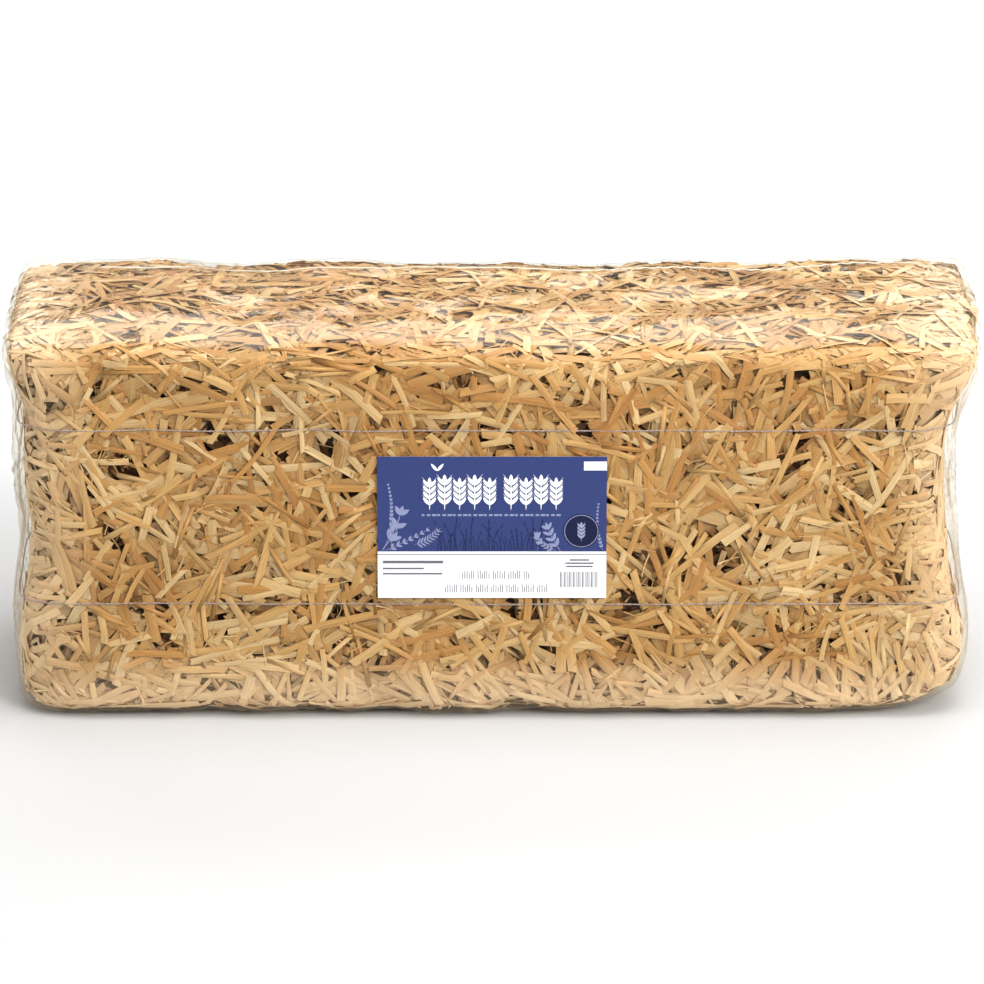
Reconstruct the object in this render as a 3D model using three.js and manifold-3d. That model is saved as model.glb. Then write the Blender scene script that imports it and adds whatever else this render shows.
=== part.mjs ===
// A square bale of barley straw in shrink film: nine pressed flakes stand side by side along the bale,
// two ties run round its sides and ends, clear film is shrunk over everything, and a paper label is
// stuck on the middle of the front. Millimetres, +Z up; the origin is the middle of the underside,
// +X runs along the bale and the labelled front faces -Y.
import * as THREE from "three";
import { mergeVertices } from "three/addons/utils/BufferGeometryUtils.js";
import Module from "manifold-3d";

const wasm = await Module();
wasm.setup();

// ---- driving dimensions
const LENGTH = 762;
const DEPTH = 241;
const HEIGHT = 304;

// Edge radii: the upright edges are the roundest, the back's top edge and the underside the sharpest.
const UPRIGHT_RADIUS = 38;
const FRONT_RADIUS = 30;
const BACK_RADIUS = 16;
const FRONT_TOP_RADIUS = 12;
const BACK_TOP_RADIUS = 11;
const UNDERSIDE_RADIUS = 10;
const END_CROWN = 7; // how far the ends' upright edges stand behind their middle
const FLARE_FROM = 222; // above this the ends widen and the top begins to sag
const FRONT_DROP = 3; // how much lower the top is along the front

const FILM = 0.5; // the stand-in thickness of the film, so that it is a sturdy solid
const GAP = 0.35; // between any two pieces that touch

const FLAKES = 9;
const FLAKE_LEAN = 1.6; // degrees that a joint between two flakes leans, to either side in turn

const UPPER_TIE_Z = 238;
const LOWER_TIE_Z = 98;
const TIE_RADIUS = 0.7;
const TIE_STEPS = 76; // each is short enough for the bends at the corners
const TIE_SINK = 1.4; // from the straw's surface to the middle of the tie
const GROOVE_DEPTH = 6.5;
const GROOVE_WIDTH = 4;
const KNOT = new THREE.Vector3(4.5, 2, 2.4); // half sizes of the knot
const KNOT_TAIL = 16;
const KNOT_X = 60; // the knots sit on the back, to either side of the middle

const LABEL_WIDTH = 175;
const LABEL_HEIGHT = 114;
const LABEL_THICKNESS = 0.25;
const LABEL_Z = 158;

const SEAM_Y = 74; // the film's lengthwise weld lies on the top, towards the back
const SEAM_WIDTH = 3;
const SEAM_HEIGHT = 1.5; // how far the weld's folded edge stands over the film
const SEAM_LENGTH = 690;
const VENT_RADIUS = 3; // air holes in the film, one at each end
const VENT_Z = 156;

// The grid of the bale's surface: its levels, and the stations along a half of its length and depth.
// They stand closer together towards the edges, which are round.
const LEVELS = [0, 4, 14, 44, LOWER_TIE_Z, 128, 176, UPPER_TIE_Z, 257, 278, 293, 301, HEIGHT];
const HALF_LENGTH_STATIONS = [0, 90, 180, 265, 325, 360, LENGTH / 2];
const HALF_DEPTH_STATIONS = [0, 62, 98, 113, DEPTH / 2];

// ---- how far each side stands in from the full size, as [place, inset] along the side
const LEFT_END = [[0, 10], [44, 8], [90, 7], [128, 13], [176, 8], [222, 14], [252, 12], [277, 4], [HEIGHT, 0]];
const RIGHT_END = [[0, 15], [44, 9], [90, 13], [128, 17], [176, 22], [222, 23], [252, 17], [277, 5], [HEIGHT, 0]];
const TOP_SAG = [[-381, 0], [-250, 0], [-120, 3], [-55, 0], [60, 3], [140, 3], [230, 0], [381, 0]];
const BACK_WAVE = [[-381, 2], [-260, 0], [-90, 3], [60, 1], [220, 4], [381, 1]];
const LIFTED_CORNER = { from: 290, to: 400, rise: 14, reach: 90 };

// Smooth interpolation through [place, value] pairs.
function along(pairs, at) {
  let k = 1;
  while (k < pairs.length - 1 && at > pairs[k][0]) k += 1;
  const [a, low] = pairs[k - 1];
  const [b, high] = pairs[k];
  return low + (high - low) * THREE.MathUtils.smoothstep(at, a, b);
}

// The mirrored list of stations for a whole side, from its half.
const bothWays = (half) => [...half.slice(1).map((x) => -x).reverse(), ...half];

// ---- solids
function solidOf(geometry) {
  const bare = geometry.clone();
  bare.deleteAttribute("normal");
  bare.deleteAttribute("uv");
  const merged = mergeVertices(bare, 1e-3);
  return new wasm.Manifold(
    new wasm.Mesh({
      numProp: 3,
      vertProperties: new Float32Array(merged.attributes.position.array),
      triVerts: new Uint32Array(merged.index.array),
    }),
  );
}

function geometryOf(solid) {
  const mesh = solid.getMesh();
  const positions = new Float32Array(mesh.numVert * 3);
  for (let i = 0; i < mesh.numVert; i += 1) {
    const start = i * mesh.numProp;
    positions.set(mesh.vertProperties.subarray(start, start + 3), i * 3);
  }
  const geometry = new THREE.BufferGeometry();
  geometry.setAttribute("position", new THREE.BufferAttribute(positions, 3));
  geometry.setIndex(new THREE.BufferAttribute(mesh.triVerts, 1));
  const flat = geometry.toNonIndexed();
  flat.computeVertexNormals();
  return flat;
}

function block(width, depth, height, x, y, z) {
  return new THREE.BoxGeometry(width, depth, height).translate(x, y, z);
}

// ---- the bale's outer form
// The radii of the edge or corner next to a point, along X, Y and Z.
function edgeRadii(centred) {
  const inFront = centred.y < 0;
  const top = inFront ? FRONT_TOP_RADIUS : BACK_TOP_RADIUS;
  return new THREE.Vector3(
    UPRIGHT_RADIUS,
    inFront ? FRONT_RADIUS : BACK_RADIUS,
    centred.z > 0 ? top : UNDERSIDE_RADIUS,
  );
}

// Moves a point of the plain box to the bale's surface, or to a parallel surface further in.
function toBale(point, inset) {
  const half = new THREE.Vector3(LENGTH / 2, DEPTH / 2, HEIGHT / 2);
  const centred = point.clone().sub(new THREE.Vector3(0, 0, half.z));
  const radii = edgeRadii(centred);
  const core = half.clone().sub(radii);
  const held = centred.clone().clamp(core.clone().negate(), core);
  const outward = centred.clone().sub(held).divide(radii).normalize();
  const placed = held.add(outward.clone().multiply(radii.subScalar(inset)));
  placed.z += half.z;

  const end = outward.x > 0 ? RIGHT_END : LEFT_END;
  const endShare = THREE.MathUtils.smoothstep(Math.abs(point.x), 0.7 * half.x, half.x);
  const flare = THREE.MathUtils.smoothstep(point.z, FLARE_FROM, HEIGHT);
  const crown = END_CROWN * (point.y / half.y) ** 2 * (1 - 0.7 * flare);
  placed.x -= Math.sign(point.x) * (along(end, point.z) + crown) * endShare;
  const drop = FRONT_DROP * THREE.MathUtils.clamp(0.5 - point.y / DEPTH, 0, 1) ** 2;
  placed.z -= (along(TOP_SAG, point.x) + drop) * flare;
  const backShare = THREE.MathUtils.smoothstep(point.y, 0, half.y);
  const sidesOnly = Math.sin((Math.PI * point.z) / HEIGHT);
  placed.y -= along(BACK_WAVE, point.x) * backShare * sidesOnly;
  const { from, to, rise, reach } = LIFTED_CORNER;
  const lift = THREE.MathUtils.smoothstep(point.x, from, to);
  placed.z += rise * lift * (1 - THREE.MathUtils.smoothstep(point.z, 0, reach));
  return placed;
}

// The closed surface that lies `inset` mm inside the bale's outer form.
function baleGeometry(inset) {
  const xs = bothWays(HALF_LENGTH_STATIONS);
  const ys = bothWays(HALF_DEPTH_STATIONS);
  const counts = [xs.length - 1, ys.length - 1, LEVELS.length - 1];
  const geometry = new THREE.BoxGeometry(...counts, ...counts);
  const position = geometry.attributes.position;
  for (let i = 0; i < position.count; i += 1) {
    const step = (value, count) => Math.round(value + count / 2);
    const onBox = new THREE.Vector3(
      xs[step(position.getX(i), counts[0])],
      ys[step(position.getY(i), counts[1])],
      LEVELS[step(position.getZ(i), counts[2])],
    );
    position.setXYZ(i, ...toBale(onBox, inset));
  }
  return geometry;
}

// ---- film: a closed skin with its lengthwise weld and an air hole at each end
function filmSolid() {
  let film = solidOf(baleGeometry(0)).subtract(solidOf(baleGeometry(FILM)));
  const lying = block(SEAM_LENGTH, SEAM_WIDTH, HEIGHT, 0, SEAM_Y, HEIGHT / 2);
  const raised = baleGeometry(0).translate(0, 0, SEAM_HEIGHT);
  const weld = solidOf(raised).intersect(solidOf(lying)).subtract(solidOf(baleGeometry(FILM)));
  film = film.add(weld);
  const drill = new THREE.CylinderGeometry(VENT_RADIUS, VENT_RADIUS, LENGTH + 20, 12);
  drill.rotateZ(Math.PI / 2).translate(0, 0, VENT_Z);
  return film.subtract(solidOf(drill));
}

// ---- ties: a twine round the sides and ends at one level, with its knot on the back
// The route lies in a level of the surface's own grid, so it follows the facets.
function tieRoute(z, knotX) {
  const inset = FILM + GAP + TIE_SINK;
  const knotSide = DEPTH / 2;
  const xs = bothWays(HALF_LENGTH_STATIONS);
  const ys = bothWays(HALF_DEPTH_STATIONS).slice(1, -1);
  const onBox = [
    [knotX + KNOT.x / 3, knotSide],
    ...xs.filter((x) => x > knotX + KNOT.x).map((x) => [x, knotSide]),
    ...[...ys].reverse().map((y) => [LENGTH / 2, y]),
    ...[...xs].reverse().map((x) => [x, -knotSide]),
    ...ys.map((y) => [-LENGTH / 2, y]),
    ...xs.filter((x) => x < knotX - KNOT.x).map((x) => [x, knotSide]),
    [knotX - KNOT.x / 3, knotSide],
  ];
  return onBox.map(([x, y]) => toBale(new THREE.Vector3(x, y, z), inset));
}

function tubeAlong(points, radius, steps) {
  const path = new THREE.CurvePath();
  points.slice(1).forEach((point, k) => path.add(new THREE.LineCurve3(points[k], point)));
  const section = new THREE.Shape().absellipse(0, 0, radius, radius, 0, 2 * Math.PI);
  return new THREE.ExtrudeGeometry(section, { steps, curveSegments: 3, extrudePath: path });
}

function tieSolid(z, knotX) {
  const route = tieRoute(z, knotX);
  const knotAt = route[0].clone().lerp(route[route.length - 1], 0.5);
  knotAt.y -= KNOT.y / 2;
  const loop = solidOf(tubeAlong(route, TIE_RADIUS, TIE_STEPS));
  const knot = new THREE.SphereGeometry(1, 10, 8).scale(KNOT.x, KNOT.y, KNOT.z).translate(...knotAt);
  const tails = [-1, 1].map((side) => {
    const start = new THREE.Vector3(side, 0, -1).add(knotAt);
    const end = new THREE.Vector3(side * KNOT_TAIL, 0, -KNOT_TAIL / 2).add(knotAt);
    return solidOf(tubeAlong([start, end], TIE_RADIUS, 1));
  });
  return tails.reduce((whole, tail) => whole.add(tail), loop.add(solidOf(knot)));
}

// The room for one tie in the straw: a groove all round, and a pocket behind the knot.
function tieRoom(z, knotX) {
  const surface = FILM + GAP;
  const band = solidOf(block(LENGTH, DEPTH, GROOVE_WIDTH, 0, 0, z));
  const groove = band.subtract(solidOf(baleGeometry(surface + GROOVE_DEPTH)));
  const pocket = block(2 * KNOT_TAIL + 8, 22, KNOT_TAIL, knotX, DEPTH / 2, z - KNOT_TAIL / 4);
  return groove.add(solidOf(pocket));
}

// ---- flakes: the pressed charges of straw, cut from one form by joints that lean to either side
function flakeSolids() {
  const surface = FILM + GAP;
  let straw = solidOf(baleGeometry(surface));
  straw = straw.subtract(tieRoom(UPPER_TIE_Z, KNOT_X)).subtract(tieRoom(LOWER_TIE_Z, -KNOT_X));
  const pitch = LENGTH / FLAKES;
  const lean = THREE.MathUtils.degToRad(FLAKE_LEAN);
  return Array.from({ length: FLAKES }, (_, k) => {
    const first = k === 0;
    const last = k === FLAKES - 1;
    const outline = new THREE.Shape();
    const middle = -LENGTH / 2 + (k + 0.5) * pitch;
    const low = middle - (first ? pitch : pitch / 2) + GAP / 2;
    const high = middle + (last ? pitch : pitch / 2) - GAP / 2;
    const offset = (joint) => (joint % 2 ? 1 : -1) * Math.tan(lean) * HEIGHT * 0.5;
    outline.moveTo(low - (first ? 0 : offset(k)), -1);
    outline.lineTo(high - (last ? 0 : offset(k + 1)), -1);
    outline.lineTo(high + (last ? 0 : offset(k + 1)), HEIGHT + 1);
    outline.lineTo(low + (first ? 0 : offset(k)), HEIGHT + 1);
    const slab = new THREE.ExtrudeGeometry(outline, { depth: DEPTH + 2, bevelEnabled: false });
    slab.rotateX(Math.PI / 2).translate(0, DEPTH / 2 + 1, 0);
    return straw.intersect(solidOf(slab));
  });
}

// ---- label: paper, flat on the front
function labelGeometry() {
  const y = -DEPTH / 2 - GAP - LABEL_THICKNESS / 2;
  return block(LABEL_WIDTH, LABEL_THICKNESS, LABEL_HEIGHT, 0, y, LABEL_Z);
}

// ---- materials
const strawMaterial = new THREE.MeshStandardMaterial({ color: "#d3a864", roughness: 0.75, metalness: 0 });
const twineMaterial = new THREE.MeshStandardMaterial({ color: "#9c8f86", roughness: 0.45, metalness: 0 });
const filmMaterial = new THREE.MeshStandardMaterial({
  color: "#f1efe6",
  roughness: 0.15,
  metalness: 0,
  transparent: true,
  opacity: 0.2,
});
const labelMaterial = new THREE.MeshStandardMaterial({ color: "#46559a", roughness: 0.35, metalness: 0 });

function piece(name, geometry, material) {
  const mesh = new THREE.Mesh(geometry, material);
  mesh.name = name;
  return mesh;
}

const bale = new THREE.Group();
const wrapping = new THREE.Group();
const strawPack = new THREE.Group();
bale.position.y = (GAP + LABEL_THICKNESS) / 2; // so that the origin is the middle, label included
flakeSolids().forEach((flake, k) => {
  strawPack.add(piece(`straw_flake_${k + 1}`, geometryOf(flake), strawMaterial));
});
strawPack.add(piece("tie_upper", geometryOf(tieSolid(UPPER_TIE_Z, KNOT_X)), twineMaterial));
strawPack.add(piece("tie_lower", geometryOf(tieSolid(LOWER_TIE_Z, -KNOT_X)), twineMaterial));
wrapping.add(piece("film_wrap", geometryOf(filmSolid()), filmMaterial));
wrapping.add(piece("label", labelGeometry(), labelMaterial));
bale.add(strawPack, wrapping);

export default bale;
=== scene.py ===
import math

import bmesh
import bpy
import numpy as np
from mathutils import Matrix, Vector, noise
from mathutils.bvhtree import BVHTree


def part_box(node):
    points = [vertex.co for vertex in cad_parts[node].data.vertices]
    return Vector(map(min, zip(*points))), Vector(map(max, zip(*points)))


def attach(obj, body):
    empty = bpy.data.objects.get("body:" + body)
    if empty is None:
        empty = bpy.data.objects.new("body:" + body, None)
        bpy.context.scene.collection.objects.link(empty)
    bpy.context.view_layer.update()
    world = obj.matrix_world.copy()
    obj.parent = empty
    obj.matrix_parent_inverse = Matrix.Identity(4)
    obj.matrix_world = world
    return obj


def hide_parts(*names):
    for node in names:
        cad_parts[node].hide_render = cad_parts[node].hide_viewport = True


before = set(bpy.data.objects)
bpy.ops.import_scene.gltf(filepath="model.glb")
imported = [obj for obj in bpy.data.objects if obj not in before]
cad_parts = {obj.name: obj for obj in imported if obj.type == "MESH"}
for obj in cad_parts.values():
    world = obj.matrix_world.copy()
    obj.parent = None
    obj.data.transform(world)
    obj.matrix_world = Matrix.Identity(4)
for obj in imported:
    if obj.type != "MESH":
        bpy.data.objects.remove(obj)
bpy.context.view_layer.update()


# ---- the pressed form
# The baler's ram and the shrunk film press straw, ties and wrapping to one outer form.
# It isn't a piece of its own: it is the smooth, slightly lumpy surface that the others lie on.
mm = 0.001
form_cell = 12.6 * mm
lump_height = 4.5 * mm
lump_length = 58 * mm
film_low, film_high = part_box("film_wrap")
label_low, label_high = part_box("label")
top_swell = 5 * mm  # the straw springs back up a little behind the front edge
swell_from, swell_to = 4 * mm, 92 * mm  # how far behind the front the swell starts and is full
label_edge = 22 * mm  # over this distance round the label the lumps fade in


def mesh_from(bm, name):
    """Ends a mesh under construction and gives it as a mesh of its own."""
    mesh = bpy.data.meshes.new(name)
    bm.to_mesh(mesh)
    bm.free()
    return mesh


def placed(name, data):
    """A new object in the scene that shows a mesh, light or camera."""
    made = bpy.data.objects.new(name, data)
    bpy.context.scene.collection.objects.link(made)
    return made


def box_grid(low, high, cell):
    """A box of even quads between two corners."""
    grid = bmesh.new()
    sides = high - low
    bmesh.ops.create_cube(grid, size=1)
    bmesh.ops.scale(grid, vec=sides, verts=grid.verts)
    bmesh.ops.translate(grid, vec=(low + high) / 2, verts=grid.verts)
    for axis in range(3):
        along = [e for e in grid.edges if abs((e.verts[0].co - e.verts[1].co)[axis]) > sides[axis] / 2]
        if sides[axis] > cell:
            bmesh.ops.subdivide_edges(grid, edges=along, cuts=round(sides[axis] / cell) - 1)
    return grid


def step(value, start, end):
    """0 before start, 1 after end, and smooth between them."""
    t = np.clip((np.asarray(value) - start) / (end - start), 0, 1)
    return t * t * (3 - 2 * t)


def off_label(point):
    """0 on the label, where the paper keeps the wrap flat, rising to 1 away from it."""
    x_gap = max(label_low.x - point.x, point.x - label_high.x, 0)
    z_gap = max(label_low.z - point.z, point.z - label_high.z, 0)
    near_front = point.y < 0
    return float(step(math.hypot(x_gap, z_gap), 0, label_edge)) if near_front else 1.0


cad_wrap = bmesh.new()
cad_wrap.from_mesh(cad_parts["film_wrap"].data)
cad_tree = BVHTree.FromBMesh(cad_wrap)
cad_wrap.free()

form = box_grid(film_low - Vector((1, 1, 1)) * mm, film_high + Vector((1, 1, 1)) * mm, form_cell)
for vert in form.verts:
    vert.co = cad_tree.find_nearest(vert.co)[0]
for _ in range(2):
    bmesh.ops.smooth_vert(
        form, verts=form.verts, factor=0.5, use_axis_x=True, use_axis_y=True, use_axis_z=True
    )
for vert in form.verts:
    upper = float(step(vert.co.z, film_high.z - 60 * mm, film_high.z - 4 * mm))
    behind_front = float(step(vert.co.y, film_low.y + swell_from, film_low.y + swell_to))
    vert.co.z += top_swell * upper * behind_front
form.normal_update()
for vert in form.verts:
    lump = noise.noise(vert.co / lump_length) + 0.5 * noise.noise(vert.co / lump_length * 2.3)
    vert.co -= vert.normal * lump_height * off_label(vert.co) * min(max(0.35 - lump, 0), 1)
form_mesh = mesh_from(form, "form")


def refined(mesh, levels):
    """The same closed surface with each quad split, smoothed as a subdivision surface."""
    holder = placed("refined", mesh)
    subdivision = holder.modifiers.new("subdivision", "SUBSURF")
    subdivision.levels = subdivision.render_levels = levels
    subdivided = holder.evaluated_get(bpy.context.evaluated_depsgraph_get())
    result = bpy.data.meshes.new_from_object(subdivided)
    bpy.data.objects.remove(holder)
    return result


def array_of(items, attribute, width):
    """One attribute of all the items of a mesh, as rows of width numbers."""
    values = np.empty(len(items) * width, dtype=np.float64)
    items.foreach_get(attribute, values)
    return values.reshape(-1, width)


surface = refined(form_mesh, 1)
surface_points = array_of(surface.vertices, "co", 3)
surface_quads = array_of(surface.polygons, "vertices", 4).astype(int)
surface_normals = array_of(surface.polygons, "normal", 3)
surface_areas = array_of(surface.polygons, "area", 1)[:, 0]
surface_tree = BVHTree.FromPolygons(surface_points.tolist(), surface_quads.tolist())


# ---- straw
# Chopped barley straw, pressed in nine upright flakes. Most of it is split and flattened stem,
# with some whole hollow stems, wide papery leaf sheaths, and fine shreds and chaff between them.
draw = np.random.default_rng(41)
stations = 5  # points along a straw where it may bend
core_depth = 13 * mm
floor_gap = 0.3 * mm  # the film's thickness under the straw
end_hollow = 6 * mm  # how far the film stands off the straw where it bridges the ends' hollows
hollow_levels = (40 * mm, 110 * mm, 240 * mm, 285 * mm)  # from where it starts to where it is over
straw_cover = 0.8 * mm  # the least that a straw lies under the pressed form
depth_range = 12 * mm
roll_spread = 0.17
slope_spread = 0.09
heading_patch = 95 * mm  # over this length neighbouring straws turn the same way
tone_patch = 140 * mm
loose_share = 0.46  # of the straws, those that follow no neighbour
steep_share = 0.13  # those that dive into the bale
under_share = 0.62  # those near a tie that lie under it
tie_press = 3.2 * mm  # how deep a tie presses them
tie_reach = 5 * mm
tie_levels = [(low.z + high.z) / 2 for low, high in map(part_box, ("tie_upper", "tie_lower"))]
straw_count = 26000


def shape_of(bm, rounded):
    """A small closed shape as arrays. A rounded one is smooth along its length, not at its cut ends."""
    bmesh.ops.recalc_face_normals(bm, faces=bm.faces)
    bm.verts.index_update()
    points = np.array([v.co[:] for v in bm.verts])
    faces = [[v.index for v in f.verts] for f in bm.faces]
    smooth = [rounded and abs(f.normal.x) < 0.7 for f in bm.faces]
    bm.free()
    return points, faces, smooth


def rod(sides, cuts, skew, taper, hollow=0.0):
    """A stem of unit length along X and unit width, cut askew, tapered or hollow at its ends."""
    bm = bmesh.new()
    lying = Matrix.Rotation(math.pi / 2, 4, "Y")
    bmesh.ops.create_cone(
        bm, cap_ends=True, segments=sides, radius1=0.5, radius2=0.5 * taper, depth=1, matrix=lying
    )
    long_edges = [e for e in bm.edges if abs(e.verts[0].co.x - e.verts[1].co.x) > 0.5]
    bmesh.ops.subdivide_edges(bm, edges=long_edges, cuts=cuts)
    if hollow:
        bm.normal_update()
        caps = [f for f in bm.faces if abs(f.normal.x) > 0.9]
        bmesh.ops.inset_region(bm, faces=caps, thickness=0.11, depth=-hollow)
    for vert in bm.verts:
        vert.co.x += skew * vert.co.y * (abs(vert.co.x) > 0.4) * math.copysign(1, vert.co.x)
    return shape_of(bm, sides > 4)


def strip(across, cuts, cup, thickness, ragged):
    """A flat or cupped strip of unit length along X and unit width, with ragged ends."""
    bm = bmesh.new()
    bmesh.ops.create_grid(bm, x_segments=cuts, y_segments=across, size=0.5)
    for vert in bm.verts:
        at_end = abs(vert.co.x) > 0.49
        vert.co.x += at_end * ragged * draw.uniform(-1, 1)
        vert.co.z = cup * (0.25 - vert.co.y**2) * 4 + 0.03 * draw.uniform(-1, 1)
    bmesh.ops.solidify(bm, geom=bm.faces[:], thickness=thickness)
    return shape_of(bm, False)


# Each kind: share of all straws, shapes, length and width ranges and the narrowest one's thickness,
# all in mm, bend, how much the kind keeps to the outside, and the range of tone.
straw_kinds = {
    "shred": (
        0.40,
        [rod(3, 2, 0.0, 0.35), rod(3, 2, 0.02, 0.9), rod(3, 2, 0.01, 0.6)],
        (8, 36), (0.7, 1.9), 0.5, 0.08, 1.1, (0.25, 1.0),
    ),
    "flat_stem": (
        0.32,
        [rod(4, 3, 0.03, 0.95), rod(4, 3, -0.05, 1.0), rod(4, 3, 0.0, 0.75)],
        (20, 80), (3.3, 8.4), 0.45, 0.022, 1.5, (0.36, 1.0),
    ),
    "split_stem": (
        0.13,
        [strip(3, 3, 0.32, 0.12, 0.02), strip(3, 3, 0.22, 0.12, 0.03), strip(3, 3, -0.2, 0.12, 0.015)],
        (28, 92), (4.2, 9.0), 1.8, 0.016, 1.9, (0.4, 1.0),
    ),
    "whole_stem": (
        0.07,
        [rod(6, 1, 0.01, 1.0, 0.03), rod(6, 1, 0.04, 0.95, 0.03)],
        (20, 80), (2.6, 4.8), 1.2, 0.012, 1.7, (0.45, 0.9),
    ),
    "sheath": (
        0.08,
        [strip(3, 4, 0.12, 0.05, 0.05), strip(3, 4, -0.08, 0.05, 0.03), strip(3, 4, 0.05, 0.05, 0.07)],
        (30, 104), (6.0, 12.5), 3.0, 0.02, 2.2, (0.5, 1.0),
    ),
}


def unit(vectors):
    """The same vectors, one long."""
    return vectors / np.maximum(np.linalg.norm(vectors, axis=-1, keepdims=True), 1e-9)


def swirl(points, length, seed):
    """Smooth noise from about -1 to 1 over many points at once."""
    waves = np.random.default_rng(seed)
    total = np.zeros(len(points))
    for _ in range(8):
        heading = unit(waves.normal(size=3)) * 2 * math.pi / length * waves.uniform(0.6, 1.6)
        total += np.sin(points @ heading + waves.uniform(0, 2 * math.pi))
    return total / 2.8


def spots_on(chosen):
    """A random point and the outward normal in each chosen quad of the pressed form."""
    corners = surface_points[surface_quads[chosen]]
    s, t = draw.random((2, len(chosen), 1))
    low = corners[:, 0] * (1 - s) + corners[:, 1] * s
    high = corners[:, 3] * (1 - s) + corners[:, 2] * s
    return low * (1 - t) + high * t, surface_normals[chosen]


def lay(shape, centre, normal, heading, length, width, thickness, bend, depth, slope):
    """Bends one shape along many straws that follow the pressed form.

    depth is how far under the form each lies, and slope the sine of its angle into the bale. Gives
    their points, and how far under the form each point is."""
    points, _, _ = shape
    count = len(centre)
    along = np.linspace(-0.5, 0.5, stations)
    side = np.cross(normal, heading)
    level = np.sqrt(1 - slope**2)
    run = (along * length[:, None] * level[:, None])[:, :, None]
    sway = ((4 * along**2 - 0.5) * (bend * length)[:, None])[:, :, None]
    route = centre[:, None] + heading[:, None] * run + side[:, None] * sway
    outward = np.empty_like(route)
    for i in range(count):
        for k in range(stations):
            place, facing, _, _ = surface_tree.find_nearest(route[i, k])
            route[i, k] = place
            outward[i, k] = facing
    sunk = depth[:, None] + along * (slope * length)[:, None]
    sunk += ((4 * along**2 - 0.4) * (0.5 * bend * length)[:, None])
    least = straw_cover + thickness[:, None] / 2
    sunk = np.maximum(sunk, least)
    hollow = end_hollow * np.abs(outward[:, :, 0]) ** 3
    first, full, fading, last = hollow_levels
    hollow *= step(route[:, :, 2], first, full) * step(-route[:, :, 2], -last, -fading)
    route -= outward * (sunk + hollow)[:, :, None]
    forward = unit(np.gradient(route, axis=1))
    across = unit(np.cross(outward, forward))
    up = np.cross(forward, across)
    roll = draw.normal(0, roll_spread, (count, 1, 1))
    across, up = across * np.cos(roll) + up * np.sin(roll), up * np.cos(roll) - across * np.sin(roll)
    place = np.clip((points[:, 0] + 0.5) * (stations - 1), 0, stations - 1.001)
    index = place.astype(int)
    part = (place - index)[None, :, None]
    beyond = (points[:, 0] - np.clip(points[:, 0], -0.5, 0.5))[None, :, None] * length[:, None, None]

    def between(values):
        return values[:, index] * (1 - part) + values[:, index + 1] * part

    laid = between(route) + between(forward) * beyond
    laid += between(across) * points[None, :, 1:2] * width[:, None, None]
    laid += between(up) * points[None, :, 2:3] * thickness[:, None, None]
    laid[:, :, 2] = np.maximum(laid[:, :, 2], floor_gap)
    return laid, between(sunk[:, :, None])[:, :, 0]


# The largest straws on the front: middle across and up, slant, length and width, in mm and degrees.
front_straws = [
    (-340, 25, 42, 40, 7.8), (-253, 31, -8, 57, 6.2), (-251, 197, 32, 35, 9.3),
    (-243, 275, 46, 28, 6.2), (-220, 199, -46, 71, 8.5), (-214, 203, -49, 63, 6.2),
    (-213, 166, -25, 28, 5.4), (-212, 44, 23, 52, 7.0), (-192, 160, -40, 62, 7.4),
    (-188, 258, 6, 73, 11.7), (-181, 21, 7, 110, 7.0), (-169, 286, -49, 43, 6.2),
    (-146, 173, 90, 67, 6.2), (-138, 288, -67, 42, 7.0), (-127, 254, -90, 50, 7.8),
    (-121, 185, 84, 77, 9.8), (-113, 267, -85, 39, 7.8), (-100, 171, -29, 27, 8.5),
    (-87, 232, 10, 29, 6.2), (-52, 289, -2, 58, 3.9), (80, 252, 15, 56, 9.3),
    (150, 219, 46, 59, 7.4), (165, 194, 64, 79, 6.5), (174, 117, -40, 59, 8.5),
    (181, 281, 22, 94, 13.2), (200, 243, 25, 87, 9.8), (214, 110, 9, 62, 5.4),
    (214, 216, 70, 53, 7.8), (215, 29, -5, 69, 7.8), (236, 269, 20, 94, 4.7),
    (241, 107, 33, 67, 3.9), (266, 178, 56, 32, 7.8), (277, 82, 20, 50, 9.3),
    (286, 56, -42, 47, 6.2), (286, 169, 74, 53, 14.0), (298, 273, -44, 27, 6.2),
    (329, 93, 25, 27, 5.4),
]


def tinted(tone, sunk):
    """Each point's tone and how deep it lies, as the colour that the straw material reads."""
    tint = np.ones((*sunk.shape, 4))
    tint[:, :, 0] = np.clip(tone, 0, 1)[:, None]
    tint[:, :, 1] = np.clip(sunk / core_depth, 0, 1)
    return tint


def grained(shape, length, width):
    """Each point's place along and across its straw, in metres, shifted for every straw."""
    grain = shape[0][None, :, :2] * np.stack([length, width], axis=1)[:, None]
    return grain + draw.uniform(0, 1, (len(length), 1, 2))


def large_straws(start, end):
    """The large straws on the front whose middle lies between two places along X."""
    shapes = straw_kinds["split_stem"][1][:2] + straw_kinds["sheath"][1][:1]
    sets = []
    for k, (x, z, slant, long, wide) in enumerate(front_straws):
        if start <= x * mm < end:
            place, facing, _, _ = surface_tree.find_nearest(Vector((x, -125, z)) * mm)
            turn = math.radians(slant)
            heading = np.array([[math.cos(turn), 0, math.sin(turn)]])
            length, width = np.array([long * mm]), np.array([wide * mm])
            shape = shapes[k % 3]
            depth = np.array([draw.uniform(0.7, 1.2) * mm])
            laid, sunk = lay(
                shape, np.array([place]), np.array([facing]), heading, length, width, width * 0.7,
                draw.normal(0, 0.008, 1), depth, np.zeros(1),
            )
            tint = tinted(draw.uniform(0.55, 0.95, 1), sunk)
            sets.append((shape, laid, tint, grained(shape, length, width)))
    return sets


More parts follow.
